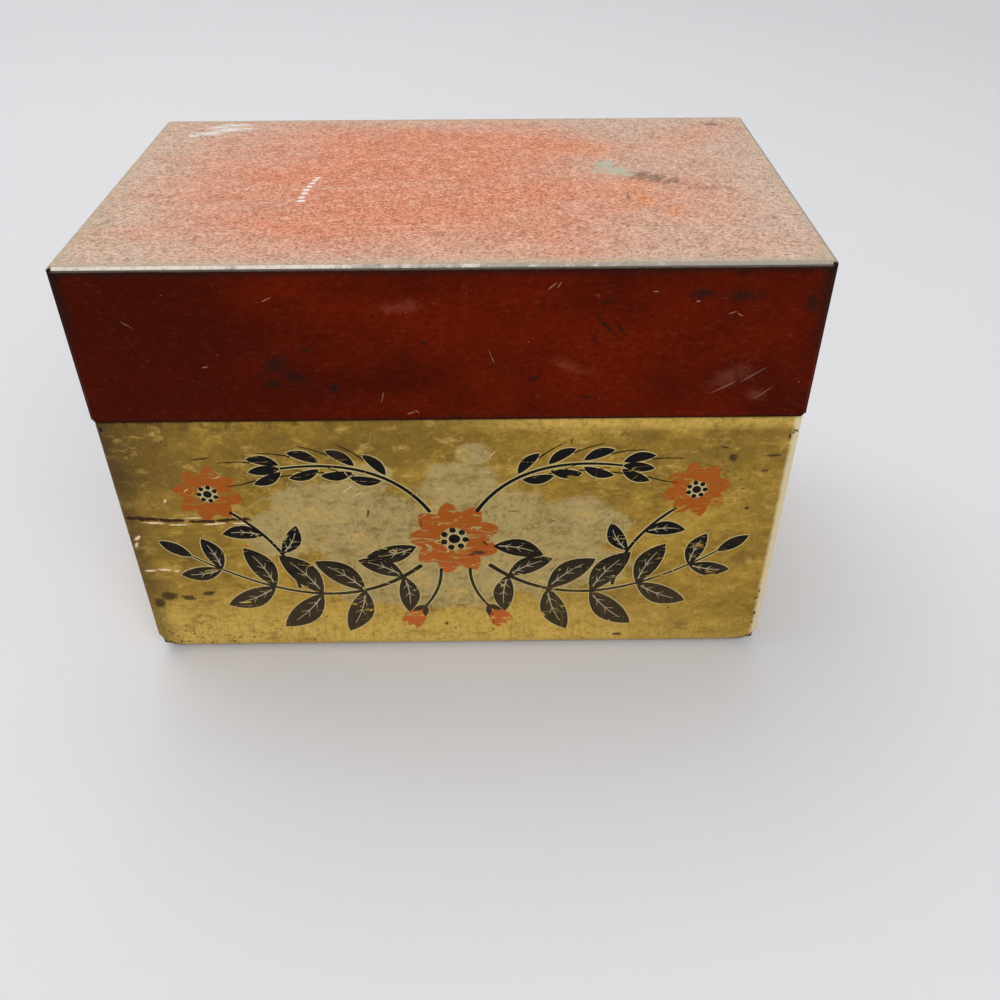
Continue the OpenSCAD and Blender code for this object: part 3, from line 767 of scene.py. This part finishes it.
def body_dirt_and_painted_light(s):
    """Dirt, specks and worn edges of the walls, with painted shade under the lid, along the left upright
    bends and along the foot, and a painted highlight along the right upright bends, over enamel and ink alike
    """
    colours = body_paint()
    metals = metal_paint()
    _, upright = s.from_sides(WALL_HIGH.x, BACK_HIGH.y)
    ragged = s.swing(0.6, 1.8, detail=4.0, harsh=0.7)
    streaks = s.grain(0.9, stretch=(0.5, 0.5, 14), detail=2.0)
    s.lay(streaks.ramp(0.54, 0.7) * s.z.ramp(20, 6) * 0.45, colour=colours.olive)
    # Painted shade under the lid, towards the left, in the stain colour
    painted_shade_under_lid = s.z.ramp(56.5, 60.5) * s.grain(2.4, detail=5.0, harsh=0.75).ramp(0.5, 0.64)
    s.lay(painted_shade_under_lid * s.x.ramp(20, -20) * 0.6, colour=colours.stain, rough=0.6)
    # Painted shade along the left upright bends, in the stain colour
    s.lay((upright + ragged * 3).ramp(5.5, 1.2) * s.x.ramp(0, -20) * 0.6, colour=colours.stain, rough=0.6)
    # Painted highlight along the right upright bends, where the enamel is also worn thin
    s.lay((upright + ragged * 0.8).ramp(2.0, 1.0) * s.x.ramp(0, 20) * 0.85, colour=colours.cream_and_highlight, rough=0.5)
    chips = s.specks(2.4, 0.42, 0.4, stretch=(1, 1, 1.4)) * upright.ramp(2.6, 1.4)
    s.lay(chips * 0.9, colour=metals.grime, rough=0.7)
    s.lay(s.specks(4, 0.26, 0.3) * 0.7, colour=colours.stain)
    foot_rust = s.specks(1.7, 0.42, 0.6) * (s.z + ragged * 2).ramp(9, 3) * s.x.ramp(-30, -56)
    s.lay(foot_rust, colour=metals.dark_rust_and_shade, rough=0.85)
    s.lay(s.hairs(11, 0.004) * s.grain(8).ramp(0.56, 0.7) * 0.35, colour=colours.cream_and_highlight)
    # Painted shade along the foot of the walls, in dark rust
    s.lay((s.z + ragged * 0.8).ramp(1.8, 0.5) * 0.6, colour=metals.dark_rust_and_shade, rough=0.8)
    corners = (s.z + upright * 0.55 + ragged * 1.4).ramp(5.5, 3.2)
    s.lay(corners * 0.85, colour=metals.dark_rust_and_shade, rough=0.8)
    bared = corners * s.grain(1.2, detail=4.0, harsh=0.7).ramp(0.5, 0.6)
    s.lay(bared * 0.7, colour=metals.dull_tin, rough=0.45, metal=0.85)


def body_front_marks(s):
    """Stains, dots, flakes and the long scratch of the front, over enamel and ink alike"""
    colours = body_paint()
    metals = metal_paint()
    s.lay(s.marks("body smudges", ragged=1.4, soft=1.0, size=3) * 0.35, colour=colours.stain)
    s.lay(s.marks("body stains", ragged=0.9, soft=0.5, size=0.6) * 0.9, colour=colours.stain, rough=0.6)
    s.lay(s.marks("body dots", ragged=0.5, size=0.4) * 0.85, colour=metals.dark_rust_and_shade)
    s.lay(s.marks("body flakes", ragged=1.0, soft=0.4, size=0.5) * 0.9, colour=colours.flake)
    s.lay(s.marks("body long scratch", ragged=1.1, size=1.2), colour=metals.dark_rust_and_shade, rough=0.8, lift=-0.05)
    s.lay(s.marks("body scratch lip", ragged=1.2, size=1.2) * 0.9, colour=colours.flake)


def body_inside(s):
    """Plain tin inside the walls, but for the hem at the rim and the flanges underneath"""
    rim_z = WALL_HIGH.z
    bend_z = rim_z - NECK_HEIGHT - NECK_STEP
    hem_foot = rim_z - RIM_HEM
    hem_face = NECK_STEP + 2 * SHEET
    from_side, upright = s.from_sides(WALL_HIGH.x, BACK_HIGH.y)
    hem = s.z.ramp(hem_foot - 0.1, hem_foot + 0.1) * from_side.ramp(hem_face - 0.1, hem_face)
    # The outsides of the shoulder and of the foot are quarters of a circle
    rise = ((s.z - bend_z) * (1 / NECK_STEP)).kept()
    fall = ((FOOT_BEND - s.z) * (1 / FOOT_BEND)).kept()
    shoulder_inset = NECK_STEP - (1 - rise * rise).root() * NECK_STEP
    foot_inset = FOOT_BEND - (1 - fall * fall).root() * FOOT_BEND
    inset = shoulder_inset + foot_inset
    depth = s.depth(WALL_HIGH.x - inset, BACK_HIGH.y - inset, BODY_BEND)
    # The rear upright bends lie a sheet inside the back panel, and are enamelled all the way round
    bend_reach = BODY_BEND + SHEET
    rear_bend = (upright - inset * 2).ramp(bend_reach + 0.07, bend_reach + 0.02) * s.y.ramp(-1, 1)
    under = s.z.ramp(0.3, 0.15)
    bare_tin(s, depth.ramp(SKIN_START, SKIN_END) * (1 - rear_bend) * (1 - hem) * (1 - under))


def body_finish():
    """Yellow enamel of the walls"""
    # The body dirt stage also paints shade and highlights
    stages = {
        "body ground": body_ground, "body dirt": body_dirt_and_painted_light,
        "body front marks": body_front_marks, "body inside": body_inside,
    }
    return finish("mottled_yellow_enamel", (body_paint().mustard, 0.45), stages, gloss=0.08)


def ink_finish(name, colour, faded, left):
    """Printed ink over the enamel. left is the level of wear above which it has rubbed off."""

    def ink(s):
        rub = s.grain(3.2, stretch=(1.6, 1, 1), detail=6.0, harsh=0.75)
        scour = s.grain(1.2, stretch=(7, 1, 0.4), detail=3.0, harsh=0.7)
        scratched = s.hairs(5, 0.014, stretch=(2.4, 1, 0.7)) * rub.ramp(left - 0.14, left - 0.04)
        there = (rub * 0.6 + scour * 0.4 + scratched).ramp(left + 0.05, left)
        tone = (s.z + rub * 30 - 15).ramp(34, 14)
        s.lay(there, colour=s.tint(tone, colour, faded), rough=0.38, lift=0.012)

    # The body dirt stage also paints shade and highlights
    stages = {
        "body ground": body_ground, name: ink, "body dirt": body_dirt_and_painted_light, "body front marks": body_front_marks,
    }
    return finish(name, (body_paint().mustard, 0.45), stages, gloss=0.08)


def base_rust(s):
    """Patches of rust over the tinplate of the base, thicker round its rim"""
    metals = metal_paint()
    bare_tin(s, s.grain(40).ramp(0.2, 0.4), worn=1.0)
    patches = s.grain(11, detail=7.0, harsh=0.68)
    s.lay(patches.ramp(0.5, 0.6), colour=metals.rust, rough=0.85, metal=0.1, lift=0.02)
    s.lay(patches.ramp(0.58, 0.68), colour=metals.dark_rust_and_shade, rough=0.9, metal=0.0)
    s.lay(s.specks(1.3, 0.3, 0.4) * patches.ramp(0.4, 0.55), colour=metals.dark_rust_and_shade, rough=0.9)
    from_side, _ = s.from_sides(PAN_HIGH.x, PAN_HIGH.y)
    rim = (s.grain(3, detail=5.0, harsh=0.7) * 6 + from_side).ramp(7.5, 4.5)
    s.lay(rim * 0.85, colour=metals.dark_rust_and_shade, rough=0.85, metal=0.1)
    s.raise_by(s.grain(0.7, detail=4.0, harsh=0.7) * 0.02)


def base_finish():
    """Rusty tinplate of the base"""
    return finish("rusty_tinplate", (metal_paint().dull_tin, 0.45, 0.8), {"base rust": base_rust}, gloss=0.35)


def steel_finish(name, rough, rusty):
    """Dull steel with scratches, and rust in spots"""
    metals = metal_paint()

    def wear(s):
        dull = s.grain(2.4, detail=5.0, harsh=0.7)
        s.lay(dull.ramp(0.45, 0.65) * 0.6, colour=metals.dull_tin, rough=rough + 0.15)
        brushed = s.grain(0.25, stretch=(12, 1, 1), detail=2.0)
        s.lay(brushed.ramp(0.55, 0.75) * 0.35, colour=metals.tin, rough=rough - 0.08)
        spots = s.grain(1.6, detail=6.0, harsh=0.75).ramp(0.72 - rusty * 0.2, 0.8 - rusty * 0.2)
        s.lay(spots, colour=metals.rust, rough=0.85, metal=0.1, lift=0.01)
        s.lay(s.specks(1.1, 0.16, rusty), colour=metals.dark_rust_and_shade, rough=0.9, metal=0.0)
        s.raise_by(brushed * 0.004)

    return finish(name, (metals.steel, rough, 0.9), {name: wear}, gloss=0.5)


def dress(slot, material):
    """Gives a material to each piece of the frame that has this slot"""
    for name, node in frame["nodes"].items():
        if SLOTS[name] == slot:
            node.data.materials.clear()
            node.data.materials.append(material)


def bezier(points, count):
    """Places along a smooth curve from the first of three handles to the last, bent towards the middle one"""
    start, middle, end = (Vector(p) for p in points)
    places = []
    for step in range(count + 1):
        t = step / count
        places.append(start * (1 - t) ** 2 + middle * 2 * t * (1 - t) + end * t * t)
    return places


def along(path):
    """Each place on a path with the direction in which the path runs there"""
    for index, place in enumerate(path):
        before = path[max(index - 1, 0)]
        after = path[min(index + 1, len(path) - 1)]
        yield place, (after - before).normalized()


def turned(direction, degrees):
    """Direction in the plane, turned to the left"""
    return Matrix.Rotation(math.radians(degrees), 2) @ direction


def ribbon(path, start_width, end_width):
    """Outline of a line that follows a path and changes its width"""
    left, right = [], []
    for index, (place, direction) in enumerate(along(path)):
        share = index / (len(path) - 1)
        half = (start_width + (end_width - start_width) * share) / 2
        across = turned(direction, 90) * half
        left.append(place + across)
        right.append(place - across)
    return left + right[::-1]


def blade(start, direction, length, width, bow=0.0, full=0.8, steps=9):
    """Outline of a smooth lance-shaped leaf, bowed to one side, and the line of its midrib"""
    across = turned(direction, 90)
    left, right, rib = [], [], []
    for step in range(steps + 1):
        t = step / steps
        middle = start + direction * (length * t) + across * (bow * length * math.sin(math.pi * t))
        half = width / 2 * math.sin(math.pi * t) ** full
        rib.append(middle)
        if 0 < step < steps:
            left.append(middle + across * half)
            right.append(middle - across * half)
    return [rib[0], *left, rib[-1], *right[::-1]], rib


def petal(centre, direction, inner, outer, width, steps=8):
    """Outline of a round-ended petal that starts away from the centre"""
    across = turned(direction, 90)
    left, right = [], []
    for step in range(steps + 1):
        t = step / steps
        place = centre + direction * (inner + (outer - inner) * t)
        half = width / 2 * math.sin(math.pi * (0.12 + 0.88 * t ** 0.85)) ** 0.6
        left.append(place + across * half)
        if step < steps:
            right.append(place - across * half)
    return left + right[::-1]


def disc(centre, radius, steps):
    """Outline of a round dot"""
    return [centre + turned(Vector((radius, 0)), 360 * step / steps) for step in range(steps)]


def grown(outline, gap):
    """Outline moved outwards by a gap"""
    total = len(outline)
    area = sum(outline[i - 1].cross(outline[i]) for i in range(total))
    outwards = -90 if area > 0 else 90
    places = []
    for index, place in enumerate(outline):
        direction = (outline[(index + 1) % total] - outline[index - 1]).normalized()
        places.append(place + turned(direction, outwards) * gap)
    return places


# Thickness that each film gains on the one before, how many films there are before it starts again,
# and how far a film reaches into the wall, in millimetres
FILM_STEP = 0.0004
FILM_LEVELS = 31
FILM_ROOT = 0.01
# Width of the pale rim round the black shapes
HALO_WIDTH = 0.22


class Print:
    """Shapes of one ink on the front of the body, drawn in millimetres across and up"""

    def __init__(self, name, material, film, halo=None):
        self.name = name
        self.material = material
        self.film = film
        self.halo = halo
        self.mesh = bmesh.new()
        self.count = 0

    def draw(self, outline, rimmed=True):
        """Adds one outline as a closed film that stands on the wall, and its rim in the ink for halos.

        Each film is a hair thicker than the one before, until the thickness starts again, so that
        films that overlap don't lie in one plane.
        """
        if self.halo and rimmed:
            self.halo.draw(grown(outline, HALO_WIDTH))
        front = WALL_LOW.y - self.film - self.count % FILM_LEVELS * FILM_STEP
        depths = (front, WALL_LOW.y + FILM_ROOT)
        self.count += 1
        near, far = (
            [self.mesh.verts.new((p.x * MM, depth * MM, p.y * MM)) for p in outline] for depth in depths
        )
        self.mesh.faces.new(near)
        self.mesh.faces.new(far[::-1])
        total = len(outline)
        for index in range(total):
            following = (index + 1) % total
            self.mesh.faces.new((near[following], near[index], far[index], far[following]))

    def done(self):
        """Makes the piece, which rides with the box"""
        bmesh.ops.recalc_face_normals(self.mesh, faces=self.mesh.faces)
        bmesh.ops.triangulate(self.mesh, faces=[f for f in self.mesh.faces if len(f.verts) > 4])
        data = bpy.data.meshes.new(self.name)
        self.mesh.to_mesh(data)
        self.mesh.free()
        data.materials.append(self.material)
        piece = bpy.data.objects.new(self.name, data)
        bpy.context.scene.collection.objects.link(piece)
        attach(piece, "box")


def leaf(ink, veins, place, heading, length, bow):
    """Smooth leaf with a midrib and a few veins"""
    outline, rib = blade(place, heading, length, length * 0.42, bow=bow)
    ink.draw(outline)
    veins.draw(ribbon(rib[1:-2], 0.3, 0.12))
    for index in range(2, len(rib) - 4, 2):
        for side in (1, -1):
            tip = rib[index] + turned(heading, side * 38) * length * 0.14
            veins.draw(ribbon([rib[index], tip], 0.18, 0.08))


def fern(ink, veins, handles, pairs, longest):
    """Frond with smooth leaflets in pairs along a bent stem"""
    path = bezier(handles, 4 * pairs)
    ink.draw(ribbon(path, 1.0, 0.35))
    for index, (place, direction) in enumerate(along(path)):
        # Each fourth place has a pair of leaflets, which are longest near the middle of the frond
        if index % 4 != 2:
            continue
        share = index / len(path)
        length = longest * (0.45 + 0.9 * math.sin(math.pi * (0.15 + 0.8 * share))) / 1.35
        for side in (1, -1):
            leaf(ink, veins, place, turned(direction, side * (62 - 26 * share)), length, 0.06 * side)
    tip, _ = blade(path[-1], (path[-1] - path[-2]).normalized(), longest * 0.55, longest * 0.2)
    ink.draw(tip)


def ear(ink, handles, grains, size):
    """Ear of grain: pairs of plump grains with a fine beard"""
    width = size * 0.34
    path = bezier(handles, 3 * grains)
    ink.draw(ribbon(path, 0.8, 0.5))
    for index, (place, direction) in enumerate(along(path)):
        # Above the bare foot of the stem, each third place has a pair of grains
        if index % 3 or index < 2 * grains / 3:
            continue
        for side in (1, -1):
            foot = place + turned(direction, side * 90) * size * 0.13
            outline, _ = blade(foot, turned(direction, side * 20), size, width, bow=0.07 * side, full=0.7)
            ink.draw(outline)
            hair = [
                place + turned(direction, side * (22 - 8 * t)) * (size * (0.9 + 0.95 * t))
                for t in (0, 0.5, 1)
            ]
            ink.draw(ribbon(hair, 0.3, 0.14), rimmed=False)
    outline, _ = blade(path[-1], (path[-1] - path[-2]).normalized(), size, width, full=0.7)
    ink.draw(outline)


def daisy(petals, ink, centre, radius, count, lean):
    """Open flower with round-ended petals and a seed head of dots"""
    for index in range(count):
        heading = turned(Vector((0, 1)), lean + 360 * index / count)
        petals.draw(petal(centre, heading, radius * 0.3, radius, radius * 0.54))
    ink.draw(disc(centre, radius * 0.13, steps=12))
    seeds = 7
    for index in range(seeds):
        heading = turned(Vector((0, 1)), lean + 360 * index / seeds)
        ink.draw(disc(centre + heading * radius * 0.24, radius * 0.075, steps=10))


def bud(petals, ink, place, heading, size):
    """Closed flower in a dark cup"""
    for side in (-1, 0, 1):
        outline, _ = blade(place, turned(heading, 16 * side), size, size * 0.36, full=0.6)
        petals.draw(outline)
    for side in (-1, 1):
        outline, _ = blade(place - heading * size * 0.1, turned(heading, 28 * side), size * 0.5, size * 0.2)
        ink.draw(outline)


def front_print():
    """Garland on the front: a flower in the middle, and to each side a fern, an ear, a flower and a bud"""
    inks = ink_settings()
    film = inks.film / MM
    leaflet = inks.leaflet / MM
    flower = inks.flower / MM
    grain = inks.grain / MM
    middle = Vector((0, 32))
    halo_ink = ink_finish("halo_ink", inks.halo, inks.halo, left=0.62)
    orange_ink = ink_finish("orange_ink", inks.orange, inks.pink, left=0.54)
    black_ink = ink_finish("black_ink", inks.black, inks.brown, left=0.64)
    pale_ink = ink_finish("pale_ink", inks.rib, inks.rib, left=0.62)
    # Each ink lies a layer above the one before
    halo = Print("print_halos", halo_ink, film * 0.4)
    orange = Print("print_petals", orange_ink, film * 1.4)
    black = Print("print_leaves", black_ink, film * 2.4, halo)
    pale = Print("print_ribs", pale_ink, film * 3.4)
    for side in (-1, 1):
        fern(black, pale, ((side * 7, 25), (side * 26, 8), (side * 54, 28)), 5, leaflet)
        ear(black, ((side * 4.6, 39), (side * 13, 53), (side * 33, 50)), 5, grain)
        stem = bezier(((side * 33, 19), (side * 34, 31), (side * 44.5, 39.5)), 12)
        black.draw(ribbon(stem, 0.8, 0.6))
        daisy(orange, black, Vector((side * 48, 44)), flower * 0.72, count=8, lean=side * 12)
        # Two leaves on the stem of the small flower, each at a step of the stem and turned from it
        for index, turn in ((5, 52), (8, -50)):
            place, direction = list(along(stem))[index]
            leaf(black, pale, place, turned(direction, turn * side), leaflet * 0.62, 0.08 * side)
        hanging = bezier(((side * 3, 24), (side * 3, 18), (side * 7, 13)), 8)
        black.draw(ribbon(hanging, 0.7, 0.6))
        bud(orange, black, hanging[-1], (hanging[-1] - hanging[-3]).normalized(), flower * 0.7)
    for turn in (-104, 104):
        heading = turned(Vector((0, 1)), turn)
        leaf(black, pale, middle + heading * flower * 0.85, heading, leaflet * 0.8, 0.07)
    daisy(orange, black, middle, flower, count=9, lean=8)
    for ink in (halo, orange, black, pale):
        ink.done()


def stage_finish():
    """Plain pale floor that can't be seen from below"""
    material = bpy.data.materials.new("studio_floor")
    material.use_nodes = True
    tree = material.node_tree
    shader = tree.nodes["Principled BSDF"]
    shader.inputs["Base Color"].default_value = (*studio().floor_colour, 1.0)
    shader.inputs["Roughness"].default_value = 0.9
    shader.inputs["Specular IOR Level"].default_value = 0.1
    clear = tree.nodes.new("ShaderNodeBsdfTransparent")
    side = tree.nodes.new("ShaderNodeNewGeometry")
    choice = tree.nodes.new("ShaderNodeMixShader")
    tree.links.new(side.outputs["Backfacing"], choice.inputs[0])
    tree.links.new(shader.outputs[0], choice.inputs[1])
    tree.links.new(clear.outputs[0], choice.inputs[2])
    tree.links.new(choice.outputs[0], tree.nodes["Material Output"].inputs["Surface"])
    return material


# The floor lies this far below the box, in metres
FLOOR_GAP = 0.00002
# Steps round the floor, and up its sweep
FLOOR_TURNS = 64
SWEEP_STEPS = 12


def floor():
    """Round floor that sweeps up into a backdrop all round"""
    radius = studio().floor_radius
    sweep = radius * 0.4
    profile = [(radius * 0.3, 0.0), (radius - sweep, 0.0)]
    for step in range(1, SWEEP_STEPS + 1):
        angle = math.pi / 2 * step / SWEEP_STEPS
        profile.append((radius - sweep + sweep * math.sin(angle), sweep * (1 - math.cos(angle))))
    profile.append((radius, radius))
    mesh = bmesh.new()
    middle = mesh.verts.new((0, 0, -FLOOR_GAP))
    rings = []
    for reach, height in profile:
        ring = []
        for step in range(FLOOR_TURNS):
            angle = 2 * math.pi * step / FLOOR_TURNS
            place = (reach * math.cos(angle), reach * math.sin(angle), height - FLOOR_GAP)
            ring.append(mesh.verts.new(place))
        rings.append(ring)
    for step in range(FLOOR_TURNS):
        following = (step + 1) % FLOOR_TURNS
        mesh.faces.new((middle, rings[0][step], rings[0][following]))
        for inner, outer in zip(rings, rings[1:]):
            mesh.faces.new((inner[step], outer[step], outer[following], inner[following]))
    for face in mesh.faces:
        face.smooth = True
    data = bpy.data.meshes.new("studio_floor")
    mesh.to_mesh(data)
    mesh.free()
    data.materials.append(stage_finish())
    piece = bpy.data.objects.new("studio_floor", data)
    bpy.context.scene.collection.objects.link(piece)


# Places and widths of the lamps, in metres
KEY_PLACE = (-0.25, 0.35, 0.95)
KEY_WIDTH = 0.9
FILL_PLACE = (0.3, -0.9, 0.75)
FILL_WIDTH = 0.8


def lamp(name, place, width, power):
    """Square soft lamp that points at the middle of the box"""
    data = bpy.data.lights.new(name, "AREA")
    data.shape = "SQUARE"
    data.size = width
    data.energy = power
    piece = bpy.data.objects.new(name, data)
    piece.location = place
    target = Vector((0, 0, LID_HIGH.z / 2 * MM))
    piece.rotation_euler = (target - Vector(place)).to_track_quat("-Z", "Y").to_euler()
    bpy.context.scene.collection.objects.link(piece)


def sky():
    """Even light from all round"""
    world = bpy.data.worlds.new("studio_sky")
    world.use_nodes = True
    background = world.node_tree.nodes["Background"]
    background.inputs["Color"].default_value = (1.0, 1.0, 1.0, 1.0)
    background.inputs["Strength"].default_value = studio().sky
    bpy.context.scene.world = world


def camera():
    """Camera at the photographed angle"""
    settings = studio()
    data = bpy.data.cameras.new("studio_camera")
    data.sensor_width = 36.0
    data.lens = settings.lens
    data.clip_start = 0.01
    piece = bpy.data.objects.new("studio_camera", data)
    tilt = Matrix.Rotation(math.pi / 2 - settings.pitch, 3, "X")
    aim = Matrix.Rotation(-settings.turn, 3, "Z") @ tilt @ Matrix.Rotation(settings.roll, 3, "Z")
    piece.location = settings.eye
    piece.rotation_euler = aim.to_euler()
    bpy.context.scene.collection.objects.link(piece)
    bpy.context.scene.camera = piece


class CARDBOX_OT_lid(bpy.types.Operator):
    """Gives the lid its worn red enamel"""
    bl_idname = "cardbox.lid"
    bl_label = "Finish the lid"

    def execute(self, context):
        dress("lid_enamel", lid_finish())
        return {"FINISHED"}


class CARDBOX_OT_walls(bpy.types.Operator):
    """Gives the walls their mottled yellow enamel"""
    bl_idname = "cardbox.walls"
    bl_label = "Finish the walls"

    def execute(self, context):
        dress("body_enamel", body_finish())
        return {"FINISHED"}


class CARDBOX_OT_base(bpy.types.Operator):
    """Gives the base its rusty tinplate"""
    bl_idname = "cardbox.base"
    bl_label = "Finish the base"

    def execute(self, context):
        dress("rusty_tin", base_finish())
        return {"FINISHED"}


class CARDBOX_OT_hinges(bpy.types.Operator):
    """Gives the leaves, pins and rivets their steel"""
    bl_idname = "cardbox.hinges"
    bl_label = "Finish the hinges"

    def execute(self, context):
        dress("hinge_steel", steel_finish("stamped_steel", rough=0.42, rusty=0.3))
        dress("bare_steel", steel_finish("drawn_steel", rough=0.32, rusty=0.2))
        return {"FINISHED"}


class CARDBOX_OT_print(bpy.types.Operator):
    """Prints a garland of ferns, flowers, buds and ears of grain on the front"""
    bl_idname = "cardbox.front_print"
    bl_label = "Print the front"

    def execute(self, context):
        front_print()
        return {"FINISHED"}


class CARDBOX_OT_stage(bpy.types.Operator):
    """Sets up the floor, lamps, sky and camera"""
    bl_idname = "cardbox.stage"
    bl_label = "Set the stage"

    def execute(self, context):
        settings = studio()
        camera()
        floor()
        sky()
        lamp("key_lamp", KEY_PLACE, KEY_WIDTH, settings.key_power)
        lamp("fill_lamp", FILL_PLACE, FILL_WIDTH, settings.fill_power)
        context.scene.view_settings.view_transform = "Standard"
        return {"FINISHED"}


OPERATORS = (
    CARDBOX_OT_stage, CARDBOX_OT_lid, CARDBOX_OT_walls, CARDBOX_OT_base, CARDBOX_OT_hinges, CARDBOX_OT_print,
)
GROUPS = {
    "card_box_lid": CardBoxLidPaint,
    "card_box_body": CardBoxBodyPaint,
    "card_box_ink": CardBoxInk,
    "card_box_metal": CardBoxMetalPaint,
    "card_box_studio": CardBoxStudio,
}


class CARDBOX_PT_sidebar(bpy.types.Panel):
    """Steps and settings of the card box"""
    bl_idname = "CARDBOX_PT_sidebar"
    bl_label = "Card Box"
    bl_space_type = "VIEW_3D"
    bl_region_type = "UI"
    bl_category = "Card Box"

    def draw(self, context):
        for group_name, group in GROUPS.items():
            box = self.layout.box()
            for setting in group.__annotations__:
                box.prop(getattr(context.scene, group_name), setting)
        for operator in OPERATORS:
            self.layout.operator(operator.bl_idname)


def register():
    for name, group in GROUPS.items():
        bpy.utils.register_class(group)
        setattr(bpy.types.Scene, name, bpy.props.PointerProperty(type=group))
    for operator in OPERATORS:
        bpy.utils.register_class(operator)
    bpy.utils.register_class(CARDBOX_PT_sidebar)


def unregister():
    bpy.utils.unregister_class(CARDBOX_PT_sidebar)
    for operator in reversed(OPERATORS):
        bpy.utils.unregister_class(operator)
    for name, group in GROUPS.items():
        delattr(bpy.types.Scene, name)
        bpy.utils.unregister_class(group)


def main():
    register()
    bpy.ops.cardbox.stage()
    bpy.ops.cardbox.lid()
    bpy.ops.cardbox.walls()
    bpy.ops.cardbox.base()
    bpy.ops.cardbox.hinges()
    bpy.ops.cardbox.front_print()


if __name__ == "__main__":
    main()
